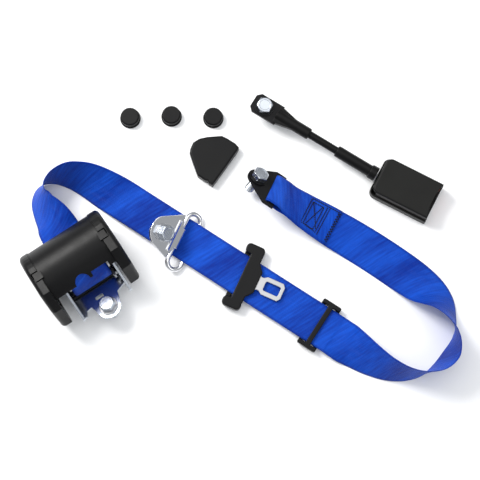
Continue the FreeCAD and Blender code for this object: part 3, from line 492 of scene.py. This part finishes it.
BEAD_SWELL = 0.12
BEAD_INSET = 1.6 * MM
BEAD_WIDTH = 1.2 * MM
EDGE_ROUNDING = 0.6 * MM
EDGE_THICK = 0.25


def strap_section(width, thick, columns):
    """Half the strap's section as (across, half thickness), thicker at the selvedges, then rounded off."""
    half = width / 2
    profile = []
    for column in range(columns + 1):
        across = half * (1 - 2 * column / columns)
        inside = half - abs(across)
        swell = 1 + BEAD_SWELL * math.exp(-((inside - BEAD_INSET) / BEAD_WIDTH) ** 2)
        rounding = min(1, math.sqrt(max(0, inside) / EDGE_ROUNDING) + EDGE_THICK)
        profile.append((across, thick / 2 * swell * rounding))
    return profile


def ribbon(name, places, width, thick, columns):
    """A closed flat strip with rounded selvedges and UVs in metres: across, then along."""
    mesh = bpy.data.meshes.new(name)
    build = bmesh.new()
    profile = strap_section(width, thick, columns)
    rings = []
    runs = []
    travelled = 0.0
    for index, (spot, way, side) in enumerate(places):
        if index:
            travelled += (spot - places[index - 1][0]).length
        runs.append(travelled)
        rise = side.cross(way).normalized()
        top = [build.verts.new(spot + side * across + rise * deep) for across, deep in profile]
        low = [build.verts.new(spot + side * across - rise * deep) for across, deep in reversed(profile)]
        rings.append(top + low)
    layer = build.loops.layers.uv.new("strap")
    edges = [across for across, _ in profile] + [across for across, _ in reversed(profile)]
    for index in range(len(rings) - 1):
        for corner in range(len(edges)):
            after = (corner + 1) % len(edges)
            turns = ((corner, index), (after, index), (after, index + 1), (corner, index + 1))
            face = build.faces.new([rings[place][turn] for turn, place in turns])
            face.smooth = True
            for loop, (turn, place) in zip(face.loops, turns):
                loop[layer].uv = (edges[turn], runs[place])
    build.faces.new(rings[0][::-1])
    build.faces.new(rings[-1])
    bmesh.ops.recalc_face_normals(build, faces=build.faces)
    build.to_mesh(mesh)
    build.free()
    return placed(name, mesh), travelled


STRAP_COLUMNS = 24
webbing = make_webbing()
finished(webbing, "webbing", "webbing_eye", "webbing_roll")
strap, strap_length = ribbon("strap", ribbon_places(), WIDTH - 0.2 * MM, THICK, STRAP_COLUMNS)
strap.data.materials.append(webbing)
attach(strap, "reel")
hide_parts("webbing", "webbing_eye")


# Webbing roll -------------------------------------------------------------------------------
# The rest of the same strap, wound on the spool as one tight spiral from the hub outwards. It
# shows through the cover's open back, where its edges make fine rings.

ROLL_TURNS = 17
ROLL_STEPS = 56
ROLL_INSIDE = 12.2
ROLL_OUTSIDE = 33.2
ROLL_THICK = 1.1 * MM
ROLL_COLUMNS = 10


def roll_places():
    places = []
    total = ROLL_TURNS * ROLL_STEPS
    for step in range(total + 1):
        angle = 2 * math.pi * step / ROLL_STEPS
        radius = (ROLL_INSIDE + (ROLL_OUTSIDE - ROLL_INSIDE) * step / total) * MM
        spot = REEL + (REEL_Y * math.cos(angle) + REEL_Z * math.sin(angle)) * radius
        way = (REEL_Z * math.cos(angle) - REEL_Y * math.sin(angle)).normalized()
        places.append((spot, way, REEL_X))
    return places


roll, roll_length = ribbon("wound_strap", roll_places(), WIDTH, ROLL_THICK, ROLL_COLUMNS)
roll.data.materials.append(webbing)
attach(roll, "spool")
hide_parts("webbing_roll")


# Stitching ----------------------------------------------------------------------------------
# Thick black thread that closes the webbing's lap: a line along its edge, a box with its two
# diagonals, two cross rows and a zigzag near the lap's end. Each stitch stands a little proud.

thread = grained("black thread", (0.006, 0.006, 0.007), (0.012, 0.012, 0.014), 0.6, 4000, 0.4, 0)
STITCH_LENGTH = 2.6
STITCH_OVERLAP = 1.02
THREAD_RADIUS = 0.58 * MM
THREAD_LIFT = 0.15 * MM
LAP_LIFT = THICK * 1.08
# Corners in millimetres: from the anchor plate along the lap, then across it.
ZIGZAG = [(71 + 2.1 * (-1) ** turn, -19.5 + 39 * turn / 22) for turn in range(23)]
STITCH_LINES = [
    [(34, 20), (70.5, 20)], [(34, 19), (34, -16)], [(34, -17), (54, -17)], [(37, 16), (51, 16)],
    [(51, 16), (51, -16)], [(51, -16), (37, -16)], [(37, -16), (37, 16)], [(37, 16.5), (54, -14)],
    [(40, -14.5), (50, 16.5)], [(55, -19), (55, 19)], [(58, -19), (58, 19)], ZIGZAG,
]


def lap_place(along, across):
    """A spot on the lap's upper face, with the strap's way, its side and the face's normal there."""
    left = 0.0
    for (after, _, _), (here, way, side) in zip(LAID[::-1], LAID[-2::-1]):
        span = (after - here).length
        if left + span >= along:
            break
        left += span
    rise = upward(side.cross(way).normalized())
    lift = LAP_LIFT + THREAD_LIFT + EYE_OPENING * (1 - eased(along / EYE_EASE))
    return after.lerp(here, (along - left) / span) + side * across + rise * lift, way, side, rise


def stitched(corners):
    """The middle, heading and length of each stitch along a line of (along, across) corners."""
    stitches = []
    for (s_start, t_start), (s_end, t_end) in zip(corners, corners[1:]):
        length = math.hypot(s_end - s_start, t_end - t_start)
        count = max(1, round(length / STITCH_LENGTH))
        for number in range(count):
            share = (number + 0.5) / count
            middle = (s_start + (s_end - s_start) * share, t_start + (t_end - t_start) * share)
            way = ((s_end - s_start) / length, (t_end - t_start) / length)
            stitches.append((middle, way, length / count))
    return stitches


def thread_mesh(name, pieces):
    """Round-ended stitches as one mesh, from (middle, way, normal, length, radius) pieces."""
    build = bmesh.new()
    for middle, way, normal, length, radius in pieces:
        side = way.cross(normal).normalized()
        turn = Matrix((way, side, normal)).transposed().to_4x4()
        size = Matrix.Diagonal((length / 2, radius * 1.15, radius, 1))
        bmesh.ops.create_uvsphere(build, u_segments=8, v_segments=6, radius=1,
                                  matrix=Matrix.Translation(middle) @ turn @ size)
    for face in build.faces:
        face.smooth = True
    mesh = bpy.data.meshes.new(name)
    build.to_mesh(mesh)
    build.free()
    return placed(name, mesh)


stitches = []
for line in STITCH_LINES:
    for (along, across), (way_s, way_t), length in stitched(line):
        spot, way, side, rise = lap_place(along * MM, across * MM)
        heading = (side * way_t - way * way_s).normalized()
        stitches.append((spot, heading, rise, length * STITCH_OVERLAP * MM, THREAD_RADIUS))
stitching = thread_mesh("stitching", stitches)
stitching.data.materials.append(thread)
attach(stitching, "reel")


# Bolts --------------------------------------------------------------------------------------
# Four 7/16 inch steel anchor bolts with bright zinc plate: a chamfered 17 mm hexagon with a dished
# top over a washer face, a plain shoulder that the pressing turns on, and a cut thread.

THREAD_PITCH = 1.27
THREAD_DEPTH = 0.62
THREAD_OUTSIDE = 5.52
TIP_RADIUS = 5.5
TIP_CHAMFER = 1.2
THREAD_STEP = 0.16
SHOULDER_RADIUS = 5.7
SHOULDER_PAST_SHEET = 1.8
HEAD_HEIGHT = 8
HEX_FLAT = 8.5
CHAMFER_SLOPE = 1.73
TOP_CHAMFER_RADIUS = 8.0
SEAT_CHAMFER_RADIUS = 8.2
THREAD_FADE = 1.5
CHAMFER_STEP = 0.25
CROWN = ((7.7, 0), (6.4, 0), (6.0, 0.35), (3.0, 0.4))
SEGMENTS = 72


def hexagon(angle, from_seat, from_top):
    """The head's radius: a hexagon, cut by the chamfers at its two faces."""
    flat = HEX_FLAT / math.cos((angle + math.pi / 6) % (math.pi / 3) - math.pi / 6)
    by_top = TOP_CHAMFER_RADIUS + CHAMFER_SLOPE * from_top
    by_seat = SEAT_CHAMFER_RADIUS + CHAMFER_SLOPE * from_seat
    return min(flat, by_top, by_seat)


def bolt_rings(bottom, shoulder, seat, top):
    """Rings of (angle, radius, height) from the tip to the head's crown, in mm along the axis."""
    angles = [2 * math.pi * index / SEGMENTS for index in range(SEGMENTS)]
    rings = []
    steps = int((shoulder - bottom) / THREAD_STEP)
    for step in range(steps + 1):
        height = bottom + (shoulder - bottom) * step / steps
        fade = min(1, (shoulder - height) / THREAD_FADE)
        taper = max(0, TIP_CHAMFER - (height - bottom))
        ring = []
        for angle in angles:
            phase = (height / THREAD_PITCH - angle / (2 * math.pi)) % 1
            depth = THREAD_DEPTH * fade * abs(2 * phase - 1)
            ring.append((angle, min(THREAD_OUTSIDE - depth, TIP_RADIUS - taper), height))
        rings.append(ring)
    for height in (shoulder, seat):
        rings.append([(angle, SHOULDER_RADIUS, height) for angle in angles])
    lower = [seat + 0.01] + [seat + CHAMFER_STEP * step for step in range(1, 5)]
    upper = [top - CHAMFER_STEP * step for step in range(6, 0, -1)]
    for height in lower + upper:
        rings.append([(angle, hexagon(angle, height - seat, top - height), height) for angle in angles])
    for radius, below in CROWN:
        rings.append([(angle, radius, top - below) for angle in angles])
    return rings


def turned(name, rings):
    """A mesh through rings of points, closed at both ends."""
    build = bmesh.new()
    loops = [[build.verts.new(point) for point in ring] for ring in rings]
    for low, high in zip(loops, loops[1:]):
        for index in range(len(low)):
            after = (index + 1) % len(low)
            build.faces.new((low[index], low[after], high[after], high[index])).smooth = True
    build.faces.new(loops[0][::-1])
    build.faces.new(loops[-1])
    bmesh.ops.recalc_face_normals(build, faces=build.faces)
    mesh = bpy.data.meshes.new(name)
    build.to_mesh(mesh)
    build.free()
    mesh.set_sharp_from_angle(angle=math.radians(18))
    return placed(name, mesh)


def bolt(label, sheet):
    """A detailed bolt on the axis of the plain one, turned so that their hexagons agree."""
    node = node_object(label + "_bolt")
    middle, way = joint_at(label + "_bolt_spin"), joint_way(label + "_bolt_spin")
    corners = [node.matrix_world @ vertex.co - middle for vertex in node.data.vertices]
    heights = [corner.dot(way) for corner in corners]
    wide = [(corner - way * height, height) for corner, height in zip(corners, heights)]
    edge, level = max(wide, key=lambda pair: pair[0].length)
    if level < (min(heights) + max(heights)) / 2:
        way = -way
        heights = [-height for height in heights]
    top, bottom = max(heights) / MM, min(heights) / MM
    x_way = edge.normalized()
    y_way = way.cross(x_way)
    seat = top - HEAD_HEIGHT
    rings = []
    for ring in bolt_rings(bottom, seat - SHOULDER_PAST_SHEET - sheet, seat, top):
        rings.append([middle + (x_way * math.cos(angle) + y_way * math.sin(angle)) * radius * MM
                      + way * height * MM for angle, radius, height in ring])
    item = turned(label + "_hex_bolt", rings)
    item.data.materials.append(zinc)
    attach(item, label + "_bolt")
    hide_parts(label + "_bolt")


finished(zinc, "reel_bolt", "pillar_bolt", "anchor_bolt", "stalk_bolt")
for label, sheet in (("reel", 2.8), ("pillar", 3), ("anchor", 3), ("stalk", 3)):
    bolt(label, sheet)


# Pillar loop --------------------------------------------------------------------------------
# A closed loop of round steel rod that the webbing slides through, and the pressed plate that is
# curled round it and bolts to the pillar. Both are polished chrome.

def copied(name, prefix):
    source = node_object(name)
    mesh = source.data.copy()
    mesh.transform(source.matrix_world)
    return placed(prefix + name, mesh)


def softened(name, body, voxel, passes, material):
    """A copy of a node with every edge rounded, to ride in its place."""
    item = copied(name, "soft_")
    remesh = item.modifiers.new("remesh", "REMESH")
    remesh.mode = "VOXEL"
    remesh.voxel_size = voxel * MM
    remesh.use_smooth_shade = True
    relax = item.modifiers.new("relax", "SMOOTH")
    relax.factor = 0.5
    relax.iterations = passes
    graph = bpy.context.evaluated_depsgraph_get()
    mesh = bpy.data.meshes.new_from_object(item.evaluated_get(graph))
    item.modifiers.clear()
    item.data = mesh
    mesh.materials.clear()
    mesh.materials.append(material)
    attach(item, body)
    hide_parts(name)


chrome = grained("polished chrome", (0.78, 0.79, 0.81), (0.84, 0.84, 0.86), 0.11, 400, 0.04, 0.0006, 1.0)
finished(chrome, "wire_loop", "loop_plate", "pillar_washer")
softened("loop_plate", "loop_plate", 0.4, 5, chrome)


# Tongue and keeper --------------------------------------------------------------------------
# The tongue is a satin steel blade, punched with the latch's window, in a black moulded grip with
# rounded lobes. The keeper is a small moulded slide with a bar over the webbing.

finished(satin, "tongue_blade")
finished(shell, "tongue_cover", "web_keeper")
softened("tongue_cover", "tongue", 0.45, 14, shell)
softened("web_keeper", "keeper", 0.45, 6, shell)


# Floor anchor and stalk ---------------------------------------------------------------------
# The anchor plate and the stalk's tab are black coated steel pressings. The buckle's cable is bare
# between two heat-shrink sleeves, and a soft boot closes the buckle's end.

sleeve = grained("black heat-shrink sleeve", (0.003, 0.003, 0.003), (0.006, 0.006, 0.006),
                 0.4, 700, 0.25, 0.0006)
finished(paint, "anchor_plate", "anchor_washer", "stalk_tab", "stalk_washer")
finished(sleeve, "buckle_boot", "stalk_cable", "ferrule_near", "ferrule_far")
softened("ferrule_near", "stalk", 0.5, 14, sleeve)
softened("buckle_boot", "buckle", 0.4, 8, sleeve)


# Buckle -------------------------------------------------------------------------------------
# Two grained black half cases over a satin steel frame and latch, with a black ejector and a red button whose
# lip shows at the mouth. Both springs are copies with their own meshes that ride with the buckle.

LIP_DEPTH = 6 * MM
LIP_PROUD = 1.0 * MM
buckle = grained("grained black moulding", (0.006, 0.006, 0.0055), (0.011, 0.011, 0.010),
                 0.4, 1400, 0.3, 0.0008)
red = grained("red moulding", (0.55, 0.012, 0.01), (0.62, 0.02, 0.014), 0.3, 1200, 0.1, 0.0006)
finished(buckle, "buckle_top", "buckle_bottom")
finished(satin, "buckle_frame", "latch_plate", "ejector_spring", "button_spring")
finished(shell, "ejector")
finished(red, "press_button")


def squeezed(name):
    """A copy of a spring with its own mesh, riding with the buckle."""
    item = copied(name, "live_")
    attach(item, "buckle")
    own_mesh(item)
    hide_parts(name)


squeezed("ejector_spring")
squeezed("button_spring")
button = copied("press_button", "lipped_")
out = joint_way("button_press") * -1
front = max(vertex.co.dot(out) for vertex in button.data.vertices)
for vertex in button.data.vertices:
    if vertex.co.dot(out) > front - LIP_DEPTH:
        vertex.co += out * LIP_PROUD
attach(button, "button")
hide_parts("press_button")


# Loose covers -------------------------------------------------------------------------------
# Three round caps that push over the bolt heads, and the hollow cover for the pillar loop.

finished(shell, "bolt_cap_1", "bolt_cap_2", "bolt_cap_3", "loop_cover")
